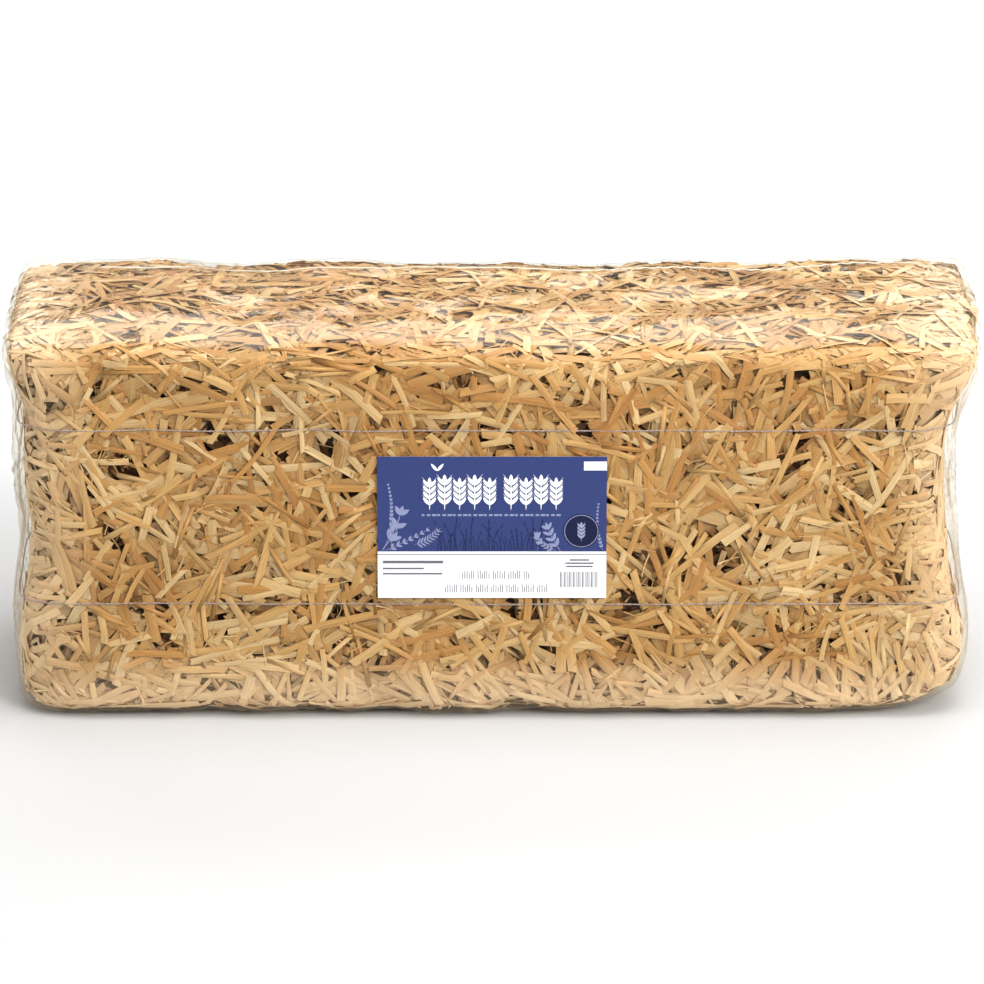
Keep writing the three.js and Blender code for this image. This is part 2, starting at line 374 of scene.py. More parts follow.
def straws_between(start, end, count):
    """All straws whose middle lies between two places along X, as one set of mesh arrays."""
    middles = surface_points[surface_quads].mean(axis=1)
    here = np.flatnonzero((middles[:, 0] >= start) & (middles[:, 0] < end))
    below = surface_normals[here, 2] < -0.7
    weight = surface_areas[here] * np.where(below, 0.5, 1.0)
    chosen = draw.choice(here, size=count, p=weight / weight.sum())
    spots, normals = spots_on(chosen)
    sets = []
    first = 0
    for share, shapes, lengths, widths, thinnest, bend, outer, tones in straw_kinds.values():
        for shape in shapes:
            amount = round(count * share / len(shapes))
            centre = spots[first : first + amount]
            normal = normals[first : first + amount]
            first += amount
            amount = len(centre)
            length = (lengths[0] + (lengths[1] - lengths[0]) * draw.beta(1.6, 2.6, amount)) * mm
            width = (widths[0] + (widths[1] - widths[0]) * draw.beta(1.8, 2.2, amount)) * mm
            thickness = width * (thinnest / widths[0])
            reference = np.where(np.abs(normal[:, :1]) > 0.8, [[0.0, 0.0, 1.0]], [[1.0, 0.0, 0.0]])
            lengthwise = unit(reference - normal * (reference * normal).sum(1, keepdims=True))
            sideways = np.cross(normal, lengthwise)
            on_flat = step(np.abs(normal).max(axis=1), 0.86, 0.98)
            loose = draw.random(amount) < loose_share
            turn = swirl(centre, heading_patch, 3) * 2.2 + draw.normal(0, 0.35, amount)
            turn = np.where(loose, draw.uniform(-math.pi / 2, math.pi / 2, amount), turn)
            turn = turn * on_flat + draw.normal(0, 0.4, amount) * (1 - on_flat)
            heading = lengthwise * np.cos(turn)[:, None] + sideways * np.sin(turn)[:, None]
            heading *= draw.choice([-1, 1], amount)[:, None]
            slope = np.sin(draw.normal(0, slope_spread, amount))
            steep = draw.random(amount) < steep_share * on_flat
            slope = np.where(steep, draw.uniform(0.4, 0.9, amount), slope)
            depth = straw_cover + depth_range * draw.random(amount) ** outer
            near_tie = np.zeros(amount)
            for level in tie_levels:
                near_tie = np.maximum(near_tie, np.exp(-(((centre[:, 2] - level) / tie_reach) ** 2)))
            under = draw.random(amount) < under_share
            depth += tie_press * near_tie * under
            depth = np.where(steep, depth * 0.4 + 0.5 * length * slope, depth)
            bends = draw.normal(0, bend, amount)
            points, sunk = lay(
                shape, centre, normal, heading, length, width, thickness, bends, depth, slope
            )
            tone = draw.uniform(*tones, amount) + 0.08 * swirl(centre, tone_patch, 8)
            sets.append((shape, points, tinted(tone, sunk), grained(shape, length, width)))
    return sets + large_straws(start, end)


def joined(name, sets, core):
    """One mesh from all the laid straws and a solid core."""
    core_points = array_of(core.vertices, "co", 3)
    points, tints, grains = [core_points], [], []
    # The core counts as fully deep, so it takes the full dust and painted shade.
    tints.append(np.tile([0.12, 1.0, 0.5, 1.0], (len(core_points), 1)))
    grains.append(core_points[:, [0, 2]])
    corners = [array_of(core.loops, "vertex_index", 1)[:, 0].astype(int)]
    totals = [array_of(core.polygons, "loop_total", 1)[:, 0].astype(int)]
    smooths = [np.ones(len(core.polygons), bool)]
    base = len(core_points)
    for (_, faces, smooth), laid, tint, grain in sets:
        amount, size = laid.shape[:2]
        points.append(laid.reshape(-1, 3))
        tints.append(tint.reshape(-1, 4))
        grains.append(grain.reshape(-1, 2))
        flat = np.array([corner for face in faces for corner in face])
        offsets = base + np.arange(amount) * size
        corners.append((offsets[:, None] + flat[None]).ravel())
        totals.append(np.tile([len(face) for face in faces], amount))
        smooths.append(np.tile(smooth, amount))
        base += amount * size
    points, tints, grains = map(np.concatenate, (points, tints, grains))
    corners, totals, smooths = map(np.concatenate, (corners, totals, smooths))
    mesh = bpy.data.meshes.new(name)
    mesh.vertices.add(len(points))
    mesh.loops.add(len(corners))
    mesh.polygons.add(len(totals))
    mesh.vertices.foreach_set("co", points.ravel())
    mesh.loops.foreach_set("vertex_index", corners)
    mesh.polygons.foreach_set("loop_start", np.concatenate([[0], np.cumsum(totals)[:-1]]))
    mesh.update(calc_edges=True)
    mesh.polygons.foreach_set("use_smooth", smooths)
    tint_layer = mesh.color_attributes.new("straw_tint", "FLOAT_COLOR", "POINT")
    tint_layer.data.foreach_set("color", tints.ravel())
    grain_layer = mesh.uv_layers.new(name="grain")
    grain_layer.data.foreach_set("uv", grains[corners].ravel())
    mesh.validate()
    return mesh


def linear(hex_code):
    """An sRGB hex colour as the linear colour that shaders take."""
    parts = [int(hex_code[i : i + 2], 16) / 255 for i in (1, 3, 5)]
    return [c / 12.92 if c <= 0.04045 else ((c + 0.055) / 1.055) ** 2.4 for c in parts] + [1]


def add(tree, kind, inputs=None, stops=None, **settings):
    """Adds a shader node with its settings. An input given as a socket is linked, any other is set."""
    made = tree.nodes.new("ShaderNode" + kind)
    for name, value in settings.items():
        setattr(made, name, value)
    for name, value in (inputs or {}).items():
        if isinstance(value, bpy.types.NodeSocket):
            tree.links.new(value, made.inputs[name])
        else:
            made.inputs[name].default_value = value
    if stops:
        elements = made.color_ramp.elements
        while len(elements) < len(stops):
            elements.new(0.5)
        for element, (place, value) in zip(elements, stops):
            element.position = place
            element.color = linear(value) if isinstance(value, str) else [value, value, value, 1]
    return made


def new_material(name):
    """An empty material and its node tree."""
    material = bpy.data.materials.new(name)
    material.use_nodes = True
    material.node_tree.nodes.clear()
    return material, material.node_tree


# Barley straw: golden, waxy outer skin with fine lengthwise ribs about 0.5 mm apart, drawn 0.9 mm
# apart so that they show. Stems range from tan to cream. Straw lying further in is browned by dust
# and darkened by painted shade, which stands for the shade in the gaps between the straws.
# Near the base and the ends the straw is painted paler: painted light, standing for the film's milky
# veil at the base and for side light at the ends.
# A Mix node's colour inputs are its inputs 6 and 7, and its colour output is output 2.
straw_material, tree = new_material("barley_straw")
tint = add(tree, "Attribute", attribute_name="straw_tint")
shares = add(tree, "SeparateColor", {"Color": tint.outputs["Color"]})
tone = add(
    tree, "ValToRGB", {"Fac": shares.outputs["Red"]},
    stops=[
        (0.0, "#874d22"), (0.25, "#a97035"), (0.5, "#bd8849"), (0.78, "#cc9f62"), (1.0, "#dab886")
    ],
)
grain = add(tree, "UVMap", uv_map="grain")
ribs_at = add(tree, "Mapping", {"Vector": grain.outputs["UV"], "Scale": (40, 1100, 1)})
ribs = add(tree, "TexNoise", {"Vector": ribs_at.outputs["Vector"], "Scale": 1.0, "Detail": 3.0})
rib_shade = add(tree, "ValToRGB", {"Fac": ribs.outputs["Fac"]}, stops=[(0.3, 0.74), (0.6, 1.0)])
ribbed = add(
    tree, "Mix", {0: 1.0, 6: tone.outputs["Color"], 7: rib_shade.outputs["Color"]},
    data_type="RGBA", blend_type="MULTIPLY",
)
place = add(tree, "TexCoord")
stains = add(
    tree, "TexNoise", {"Vector": place.outputs["Object"], "Scale": 1 / (22 * mm), "Detail": 4.0}
)
stain_share = add(tree, "ValToRGB", {"Fac": stains.outputs["Fac"]}, stops=[(0.54, 0.0), (0.78, 0.4)])
stained = add(
    tree, "Mix", {0: stain_share.outputs["Color"], 6: ribbed.outputs[2], 7: linear("#b37b45")},
    data_type="RGBA",
)
# Painted shade, partly dust: the deeper a straw lies, the more it is mixed towards dark brown.
dust_and_shade_share = add(
    tree, "MapRange",
    {"Value": shares.outputs["Green"], "From Min": 0.13, "From Max": 0.75, "To Max": 0.92},
)
dusty_and_shaded = add(
    tree, "Mix", {0: dust_and_shade_share.outputs["Result"], 6: stained.outputs[2], 7: linear("#4f260a")},
    data_type="RGBA",
)
spots = add(tree, "SeparateXYZ", {"Vector": place.outputs["Object"]})
from_middle = add(tree, "Math", {0: spots.outputs["X"]}, operation="ABSOLUTE")
# Painted light: near the base and the ends the straw is mixed towards pale cream.
at_base = add(
    tree, "MapRange",
    {"Value": spots.outputs["Z"], "From Min": 52 * mm, "From Max": 16 * mm, "To Max": 0.65},
)
at_ends = add(
    tree, "MapRange",
    {"Value": from_middle.outputs["Value"], "From Min": 300 * mm, "From Max": 365 * mm, "To Max": 0.6},
)
painted_light_share = add(
    tree, "Math", {0: at_base.outputs["Result"], 1: at_ends.outputs["Result"]}, operation="MAXIMUM"
)
pale = add(
    tree, "Mix", {0: painted_light_share.outputs["Value"], 6: dusty_and_shaded.outputs[2], 7: linear("#ecd0ab")},
    data_type="RGBA",
)
ridge = add(tree, "Bump", {"Height": ribs.outputs["Fac"], "Strength": 0.5, "Distance": 0.25 * mm})
wax = add(tree, "MapRange", {"Value": ribs.outputs["Fac"], "To Min": 0.36, "To Max": 0.62})
straw_shader = add(
    tree, "BsdfPrincipled",
    {
        "Base Color": pale.outputs[2],
        "Roughness": wax.outputs["Result"],
        "IOR": 1.5,
        "Normal": ridge.outputs["Normal"],
    },
)
add(tree, "OutputMaterial", {"Surface": straw_shader.outputs["BSDF"]})


def core_between(start, end):
    """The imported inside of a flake: the form, shrunk and cut off at both joints, as a closed solid."""
    bm = bmesh.new()
    bm.from_mesh(form_mesh)
    bm.normal_update()
    for vert in bm.verts:
        vert.co -= vert.normal * core_depth
    for place_x, facing in ((start, -1), (end, 1)):
        parts = bm.verts[:] + bm.edges[:] + bm.faces[:]
        cut = bmesh.ops.bisect_plane(
            bm, geom=parts, plane_co=(place_x, 0, 0), plane_no=(facing, 0, 0), clear_outer=True
        )
        rim = [e for e in cut["geom_cut"] if isinstance(e, bmesh.types.BMEdge)]
        bmesh.ops.holes_fill(bm, edges=rim)
    bmesh.ops.recalc_face_normals(bm, faces=bm.faces)
    return mesh_from(bm, "core")


def new_piece(name, mesh, material, slot_name, *nodes):
    """A piece of the object, which rides on the one body and stands for the CAD nodes named."""
    piece = placed(name, mesh)
    mesh.materials.append(material)
    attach(piece, "root")
    if nodes:
        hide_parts(*nodes)
    return piece


flake_names = [f"straw_flake_{k + 1}" for k in range(9)]
flake_boxes = [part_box(name) for name in flake_names]
joints = [(a[1].x + b[0].x) / 2 for a, b in zip(flake_boxes, flake_boxes[1:])]
edges = [film_low.x, *joints, film_high.x]
middles_x = surface_points[surface_quads].mean(axis=1)[:, 0]
seen_area = surface_areas * np.where(surface_normals[:, 2] < -0.7, 0.5, 1.0)
for name, start, end in zip(flake_names, edges, edges[1:]):
    part = seen_area[(middles_x >= start) & (middles_x < end)].sum() / seen_area.sum()
    straws = straws_between(start, end, round(straw_count * part))
    mesh = joined(name, straws, core_between(start, end))
    new_piece(f"{name}_straws", mesh, straw_material, "straw", name)


# ---- ties
# Two polypropylene twines, each of two twisted strands, are run round the bale's sides and ends by
# the knotter and knotted at the back. They are pressed into the straw, and a few straws lie over them.
strand_radius = 0.42 * mm
twist_length = 9 * mm
tie_depth = 1.3 * mm
tie_step = 3.2 * mm
knot_radius = 0.75 * mm
tail_radius = 0.7 * mm


def tie_route(level):
    """Points round the bale at one level, at even steps, just under the pressed form."""
    turn_points = []
    reach = film_high - film_low
    for angle in np.linspace(0, 2 * math.pi, 720, endpoint=False):
        outside = Vector((math.cos(angle) * reach.x, math.sin(angle) * reach.y, 0))
        origin = Vector((0, 0, level)) + outside
        place, facing, _, _ = surface_tree.ray_cast(origin, -outside.normalized())
        turn_points.append(place - facing * tie_depth)
    loop = np.array(turn_points + turn_points[:1])
    gone = np.concatenate([[0], np.cumsum(np.linalg.norm(np.diff(loop, axis=0), axis=1))])
    even = np.linspace(0, gone[-1], round(gone[-1] / tie_step), endpoint=False)
    return np.stack([np.interp(even, gone, loop[:, axis]) for axis in range(3)], axis=1)


def sweep(bm, route, radius, sides, closed):
    """A round strand along a route of points."""
    last = None
    rings = []
    forward = np.roll(route, -1, axis=0) - np.roll(route, 1, axis=0)
    if not closed:
        forward = np.gradient(route, axis=0)
    for point, ahead in zip(route, forward):
        turn = Vector(ahead).to_track_quat("X", "Z").to_matrix().to_4x4()
        ring = bmesh.ops.create_circle(
            bm, cap_ends=False, segments=sides, radius=radius,
            matrix=Matrix.Translation(point) @ turn @ Matrix.Rotation(math.pi / 2, 4, "Y"),
        )["verts"]
        rings.append(ring)
    pairs = list(zip(rings, rings[1:] + rings[:1])) if closed else list(zip(rings, rings[1:]))
    for one, two in pairs:
        for k in range(sides):
            bm.faces.new((one[k], one[(k + 1) % sides], two[(k + 1) % sides], two[k]))
    if not closed:
        for ring in (rings[0], rings[-1]):
            bm.faces.new(ring)
    loose = [e for e in bm.edges if not e.link_faces]
    bmesh.ops.delete(bm, geom=loose, context="EDGES")


def twined(route, closed):
    """The routes of the two strands that twist round each other along a route."""
    forward = unit(np.gradient(route, axis=0))
    out = unit(np.cross(forward, [0.0, 0.0, 1.0]))
    up = np.cross(out, forward)
    gone = np.arange(len(route)) * tie_step
    turns = round(gone[-1] / twist_length)
    phase = (2 * math.pi * turns * np.arange(len(route)) / len(route))[:, None]
    for start in (0, math.pi):
        yield route + (out * np.cos(phase + start) + up * np.sin(phase + start)) * strand_radius * 0.9


twine_material, tree = new_material("polypropylene_twine")
place = add(tree, "TexCoord")
fibres = add(
    tree, "TexNoise", {"Vector": place.outputs["Object"], "Scale": 1 / (1.5 * mm), "Detail": 2.0}
)
twine_shade = add(
    tree, "ValToRGB", {"Fac": fibres.outputs["Fac"]}, stops=[(0.3, "#84706a"), (0.7, "#bba8a2")]
)
twine_bump = add(tree, "Bump", {"Height": fibres.outputs["Fac"], "Strength": 0.4, "Distance": 0.1 * mm})
twine_shader = add(
    tree, "BsdfPrincipled",
    {
        "Base Color": twine_shade.outputs["Color"],
        "Roughness": 0.4,
        "Normal": twine_bump.outputs["Normal"],
    },
)
add(tree, "OutputMaterial", {"Surface": twine_shader.outputs["BSDF"]})

for name, level, knot_x in zip(("tie_upper", "tie_lower"), tie_levels, (60 * mm, -60 * mm)):
    bm = bmesh.new()
    for strand in twined(tie_route(level), True):
        sweep(bm, strand, strand_radius, 6, True)
    back, facing, _, _ = surface_tree.ray_cast(Vector((knot_x, 1, level)), Vector((0, -1, 0)))
    knot = Vector(back) - Vector(facing) * 1.6 * mm
    turns = np.linspace(0, 2 * math.pi, 40, endpoint=False)
    trefoil = np.stack(
        [
            2.1 * (np.sin(turns) + 1.3 * np.sin(2 * turns)) * mm,
            -0.8 * np.sin(3 * turns) * mm,
            1.3 * (np.cos(turns) - 1.3 * np.cos(2 * turns)) * mm,
        ],
        axis=1,
    )
    sweep(bm, trefoil + np.array(knot), knot_radius, 6, True)
    for side in (-1, 1):
        run = np.linspace(0, 1, 8)[:, None]
        tail = np.array(knot) + run * np.array([side * 15, 0.4, -7]) * mm
        tail[:, 2] -= (run[:, 0] ** 2) * 2 * mm
        sweep(bm, tail, tail_radius, 6, False)
    bmesh.ops.recalc_face_normals(bm, faces=bm.faces)
    mesh = mesh_from(bm, name)
    mesh.shade_smooth()
    new_piece(f"{name}_twine", mesh, twine_material, "twine", name)


# ---- shrink film
# Clear polyolefin film, shrunk by heat over the bale. It is taut and clear on the front, gathers in
# folds at the ends, corners and underside, where it turns milky, and its weld runs along the top.
film_lift = 0.25 * mm
film_ripple = 0.35 * mm
end_fold, base_fold, top_fold, fan_fold = 2.2 * mm, 1.3 * mm, 0.8 * mm, 1.8 * mm
tuck_height, tuck_width = 1.1 * mm, 2.4 * mm
ear_height, ear_width = 7 * mm, 11 * mm
clear_milk, side_milk, base_milk, top_milk = 0.004, 0.2, 0.13, 0.01
fan_milk, tuck_milk, ear_milk = 0.16, 0.12, 0.4
film_half = (film_high - film_low) / 2
film_centre = (film_high + film_low) / 2
weld_y = film_centre.y + 74 * mm
fan_centre = Vector((film_centre.x - 225 * mm, weld_y, film_high.z))
tuck_x = -19 * mm  # a tuck runs up from the underside here
ear_point = Vector((film_low.x + 26 * mm, film_high.y - 12 * mm, film_high.z - 2 * mm))


def folds(along, across, sharpness=2.0):
    """Ridges from 0 to 1 that run one way: along changes slowly, across quickly."""
    wave = noise.noise(Vector((along, across, 0)))
    return max(1 - abs(wave) * 2.6, 0) ** sharpness


film_mesh = refined(form_mesh, 2)
film_haze = []
film = bmesh.new()
film.from_mesh(film_mesh)
film.normal_update()
for vert in film.verts:
    spot = vert.co - film_centre
    free = off_label(vert.co)
    end_share = float(step(abs(spot.x), film_half.x - 62 * mm, film_half.x - 4 * mm))
    base_share = float(step(-spot.z, film_half.z - 62 * mm, film_half.z - 18 * mm))
    top_share = float(step(spot.z, film_half.z - 40 * mm, film_half.z - 8 * mm))
    round_end = math.atan2(spot.z, spot.y)
    rise = film_ripple * free * (noise.noise(vert.co / (24 * mm)) + 0.6)
    rise += end_fold * end_share * folds(round_end * 9, abs(spot.x) / (60 * mm))
    rise += base_fold * max(base_share, end_share) * folds(spot.x / (14 * mm), spot.z / (70 * mm) + 7)
    rise += top_fold * top_share * folds(spot.y / (60 * mm) + 3, spot.x / (26 * mm))
    from_fan = (vert.co - fan_centre).to_2d()
    fan_share = top_share * math.exp(-from_fan.length / (45 * mm))
    rise += fan_fold * fan_share * folds(math.atan2(from_fan.y, from_fan.x) * 4, 11, 1.0)
    tuck_share = math.exp(-(((spot.x - tuck_x) / tuck_width) ** 2))
    tuck_share *= float(step(-spot.z, 60 * mm, 80 * mm)) * (spot.y < 0)
    rise += tuck_height * tuck_share
    vert.co += vert.normal * (film_lift + max(rise, 0))
    ear_share = math.exp(-(((vert.co - ear_point).length / ear_width) ** 2))
    vert.co += Vector((-0.2, 0, 1)) * ear_height * ear_share
    vert.co.z = max(vert.co.z, 0.05 * mm)
    at_side = end_share * (0.6 if spot.x < 0 else 1.0) * (1 - 0.75 * abs(vert.normal.x))
    milk = clear_milk + max(side_milk * at_side, base_milk * base_share) + top_milk * top_share
    milk += fan_milk * fan_share + tuck_milk * tuck_share + ear_milk * ear_share
    milk *= 0.8 + 0.5 * noise.noise(vert.co / (18 * mm))
    film_haze.append(min(max(milk, clear_milk), 0.5) * (0.3 + 0.7 * free))
film.to_mesh(film_mesh)
film.free()
haze_layer = film_mesh.attributes.new("haze", "FLOAT", "POINT")
haze_layer.data.foreach_set("value", film_haze)
film_mesh.shade_smooth()

# Shrunk polyolefin, 0.03 mm thick: a hard gloss from its two faces, drawn as one, and light milk
# where it is gathered, which lets light through. Fine creases about 7 mm apart break up what it
# mirrors. From inside, the index is turned round, so that the sheet mirrors alike on both sides.
film_material, tree = new_material("shrunk_polyolefin_film")
place = add(tree, "TexCoord")
haze = add(tree, "Attribute", attribute_name="haze")
crumple = add(
    tree, "TexNoise", {"Vector": place.outputs["Object"], "Scale": 1 / (7 * mm), "Detail": 3.0}
)
creases = add(
    tree, "Bump", {"Height": crumple.outputs["Fac"], "Strength": 0.32, "Distance": 0.9 * mm}
)
clear = add(tree, "BsdfTransparent", {"Color": (0.975, 0.985, 0.955, 1)})
milk_colour = linear("#f7e0c2")
milk = add(
    tree, "BsdfPrincipled",
    {"Base Color": milk_colour, "Roughness": 0.5, "Normal": creases.outputs["Normal"]},
)
gloss = add(
    tree, "BsdfGlossy",
    {"Color": (1, 0.96, 0.88, 1), "Roughness": 0.13, "Normal": creases.outputs["Normal"]},
)
film_index = 1.5
side_met = add(tree, "NewGeometry")
index = add(
    tree, "MapRange",
    {"Value": side_met.outputs["Backfacing"], "To Min": film_index, "To Max": 1 / film_index},
)
facing = add(
    tree, "Fresnel", {"IOR": index.outputs["Result"], "Normal": creases.outputs["Normal"]}
)
two_faces = add(tree, "MapRange", {"Value": facing.outputs["Fac"], "From Min": 0.04})
through = add(tree, "BsdfTranslucent", {"Color": milk_colour})
milky = add(
    tree, "MixShader", {"Fac": 0.5, 1: milk.outputs["BSDF"], 2: through.outputs["BSDF"]}
)
veiled = add(
    tree, "MixShader",
    {"Fac": haze.outputs["Fac"], 1: clear.outputs["BSDF"], 2: milky.outputs["Shader"]},
)
film_shader = add(
    tree, "MixShader",
    {"Fac": two_faces.outputs["Result"], 1: veiled.outputs["Shader"], 2: gloss.outputs["BSDF"]},
)
add(tree, "OutputMaterial", {"Surface": film_shader.outputs["Shader"]})
new_piece("film_wrap_shrunk", film_mesh, film_material, "film", "film_wrap")

# The weld that closes the wrap: a thin melted bead along the top, straight at first and then crimped.
weld_radius = 0.55 * mm
weld_route = []
for x in np.arange(film_low.x + 70 * mm, film_high.x - 40 * mm, 2.5 * mm):
    crimp = float(step(x, 20 * mm, 90 * mm))
    zigzag = abs((x / (11 * mm)) % 1 - 0.5) * 4 - 1
    drift = 3.5 * mm * noise.noise(Vector((x / (90 * mm), 5, 0)))
    y = weld_y + drift + crimp * (1.9 * mm * zigzag + 14 * mm * (x / film_high.x) ** 2)
    place, _, _, _ = surface_tree.ray_cast(Vector((x, y, 1)), Vector((0, 0, -1)))
    weld_route.append(place + Vector((0, 0, 1)) * (film_lift + 0.7 * mm))
weld = bmesh.new()
sweep(weld, np.array(weld_route), weld_radius, 6, False)
bmesh.ops.recalc_face_normals(weld, faces=weld.faces)
weld_mesh = mesh_from(weld, "weld")
weld_mesh.shade_smooth()

# Melted polyolefin: whiter and less clear than the film, with tiny bubbles.
weld_material, tree = new_material("melted_polyolefin")
place = add(tree, "TexCoord")
bubbles = add(
    tree, "TexNoise", {"Vector": place.outputs["Object"], "Scale": 1 / (2 * mm), "Detail": 2.0}
)
weld_shade = add(
    tree, "ValToRGB", {"Fac": bubbles.outputs["Fac"]}, stops=[(0.3, "#d9cdb9"), (0.7, "#f7f1e6")]
)
weld_shader = add(
    tree, "BsdfPrincipled",
    {"Base Color": weld_shade.outputs["Color"], "Roughness": 0.25, "Alpha": 0.75},
)
add(tree, "OutputMaterial", {"Surface": weld_shader.outputs["BSDF"]})
new_piece("film_weld", weld_mesh, weld_material, "film")


# ---- label
# Coated paper, printed in two blues and white and stuck on the front. Its print is a plain pattern
# of barley ears, leaves, grass and rules, and it carries no lettering.
label_size = label_high - label_low
paper_setback = 0.12 * mm  # leaves room for the print
paper_front = label_low.y + paper_setback
paper = box_grid(label_low + Vector((0, paper_setback, 0)), label_high, 12 * mm)
paper_mesh = mesh_from(paper, "paper")

paper_material, tree = new_material("coated_paper")
place = add(tree, "TexCoord")
pulp = add(tree, "TexNoise", {"Vector": place.outputs["Object"], "Scale": 1 / (3 * mm), "Detail": 3.0})
paper_shade = add(
    tree, "ValToRGB", {"Fac": pulp.outputs["Fac"]}, stops=[(0.3, "#f4f5f8"), (0.7, "#fdfdfe")]
)
paper_shader = add(
    tree, "BsdfPrincipled", {"Base Color": paper_shade.outputs["Color"], "Roughness": 0.35}
)
add(tree, "OutputMaterial", {"Surface": paper_shader.outputs["BSDF"]})
new_piece("label_paper", paper_mesh, paper_material, "label", "label")

# The print is drawn flat, in millimetres from the label's middle, and then stood up on the paper.
ink_height = 0.03 * mm
page = Vector((label_size.x / mm, label_size.z / mm))


def page_point(right, down):
    """A place on the page, from shares of its width and height counted from its top left corner."""
    return Vector(((right - 0.5) * page.x, (0.5 - down) * page.y, 0))


def ink_lift(bm):
    """A hair's height that differs from one shape to the next, so that shapes that cross don't mix."""
    return Vector((0, 0, 0.005 * (len(bm.faces) % 7)))


def patch(bm, right, down, width, height):
    """A rectangle whose top left corner and size are given as shares of the page."""
    centre = page_point(right + width / 2, down + height / 2) + ink_lift(bm)
    size = Matrix.Diagonal((width * page.x, height * page.y, 1, 1))
    bmesh.ops.create_grid(
        bm, x_segments=1, y_segments=1, size=0.5, matrix=Matrix.Translation(centre) @ size
    )


def leaf(bm, base, angle, length, width, tip=1.0):
    """A pointed leaf, seed or blade that starts at base; tip is how sharp its far end is."""
    turn = Matrix.Rotation(angle, 4, "Z")
    lift = ink_lift(bm)
    made = bmesh.ops.create_circle(bm, cap_ends=True, segments=12, radius=0.5)["verts"]
    for vert in made:
        share = vert.co.x + 0.5
        vert.co.y *= (1 - share) ** (0.35 * tip) * (0.25 + share) ** 0.3
        vert.co = base + turn @ Vector((share * length, vert.co.y * width, 0)) + lift


def stalk(bm, points, width):
    """A thin line through a few points."""
    for one, two in zip(points, points[1:]):
        run = two - one
        leaf(bm, one - run * 0.04, math.atan2(run.y, run.x), run.length * 1.08, width, 0.3)


def curve(start, angle, length, bend, count=6):
    """Points along an arc that starts at an angle and turns by bend."""
    points = [start]
    for k in range(count - 1):
        heading = angle + bend * k / (count - 1)
        run = Vector((math.cos(heading), math.sin(heading), 0)) * length / (count - 1)
        points.append(points[-1] + run)
    return points


def barley_ear(bm, foot, height):
    """An upright ear: four pairs of plump grains up a short stalk, one at the top, and short awns."""
    stalk(bm, [foot, foot + Vector((0, height * 0.7, 0))], height * 0.045)
    for k in range(4):
        seat = foot + Vector((0, height * (0.14 + 0.175 * k), 0))
        for side in (-1, 1):
            leaf(bm, seat, math.pi / 2 - side * 0.72, height * 0.28, height * 0.135, 0.8)
            leaf(bm, seat, math.pi / 2 - side * 0.6, height * 0.37, height * 0.025)
    leaf(bm, foot + Vector((0, height * 0.66, 0)), math.pi / 2, height * 0.3, height * 0.15, 0.8)


def sprig(bm, points, leaf_length, leaf_width, spread, step_size=1, shrink=0.5):
    """A stem with leaves to either side, smaller towards its tip."""
    stalk(bm, points, leaf_width * 0.16)
    for k in range(1, len(points), step_size):
        run = points[k] - points[k - 1]
        size = 1 - (1 - shrink) * k / len(points)
        for side in (-1, 1):
            angle = math.atan2(run.y, run.x) + side * spread
            leaf(bm, points[k], angle, leaf_length * size, leaf_width * size)
    run = points[-1] - points[-2]
    leaf(bm, points[-1], math.atan2(run.y, run.x), leaf_length * shrink, leaf_width * shrink)


def printed(name, bm, layer, hex_code):
    """Stands one ink layer up on the paper, a hair thick, and gives it its colour."""
    bmesh.ops.recalc_face_normals(bm, faces=bm.faces)
    for face in bm.faces:
        if face.normal.z < 0:
            face.normal_flip()
    bmesh.ops.scale(bm, vec=(mm, mm, mm), verts=bm.verts)
    raised = bmesh.ops.extrude_face_region(bm, geom=bm.faces[:], use_keep_orig=True)
    tops = [v for v in raised["geom"] if isinstance(v, bmesh.types.BMVert)]
    bmesh.ops.translate(bm, vec=(0, 0, ink_height), verts=tops)
    bmesh.ops.recalc_face_normals(bm, faces=bm.faces)
    middle_point = (label_low + label_high) / 2
    front = Vector((middle_point.x, paper_front - layer * ink_height, middle_point.z))
    upright = Matrix.Translation(front) @ Matrix.Rotation(math.pi / 2, 4, "X")
    bmesh.ops.transform(bm, matrix=upright, verts=bm.verts)
    mesh = mesh_from(bm, name)
    material, tree = new_material(f"{name}_ink")
    place = add(tree, "TexCoord")
    screen = add(
        tree, "TexNoise", {"Vector": place.outputs["Object"], "Scale": 1 / (2 * mm), "Detail": 2.0}
    )
    low_shade = [c * 0.93 for c in linear(hex_code)[:3]] + [1]
    ink = add(
        tree, "Mix", {0: screen.outputs["Fac"], 6: low_shade, 7: linear(hex_code)}, data_type="RGBA"
    )
    shader = add(
        tree, "BsdfPrincipled",
        {"Base Color": ink.outputs[2], "Roughness": 0.5, "Specular IOR Level": 0.25},
    )
    add(tree, "OutputMaterial", {"Surface": shader.outputs["BSDF"]})
    new_piece(name, mesh, material, "label")


blue = bmesh.new()
patch(blue, 0, 0, 1, 0.67)
printed("label_blue_panel", blue, 1, "#323f74")

navy = bmesh.new()
badge = page_point(0.89, 0.525)
blade_count = 46
for k in range(blade_count):
    foot = page_point(0.26 + 0.5 * (k + draw.uniform(-0.5, 0.5)) / blade_count, 0.665)
    height = draw.uniform(0.06, 0.24) * page.y
    blade = curve(foot, math.pi / 2 + draw.uniform(-0.15, 0.15), height, draw.uniform(-0.9, 0.9))
    stalk(navy, blade, draw.uniform(0.8, 1.7))
printed("label_grass", navy, 2, "#222b58")

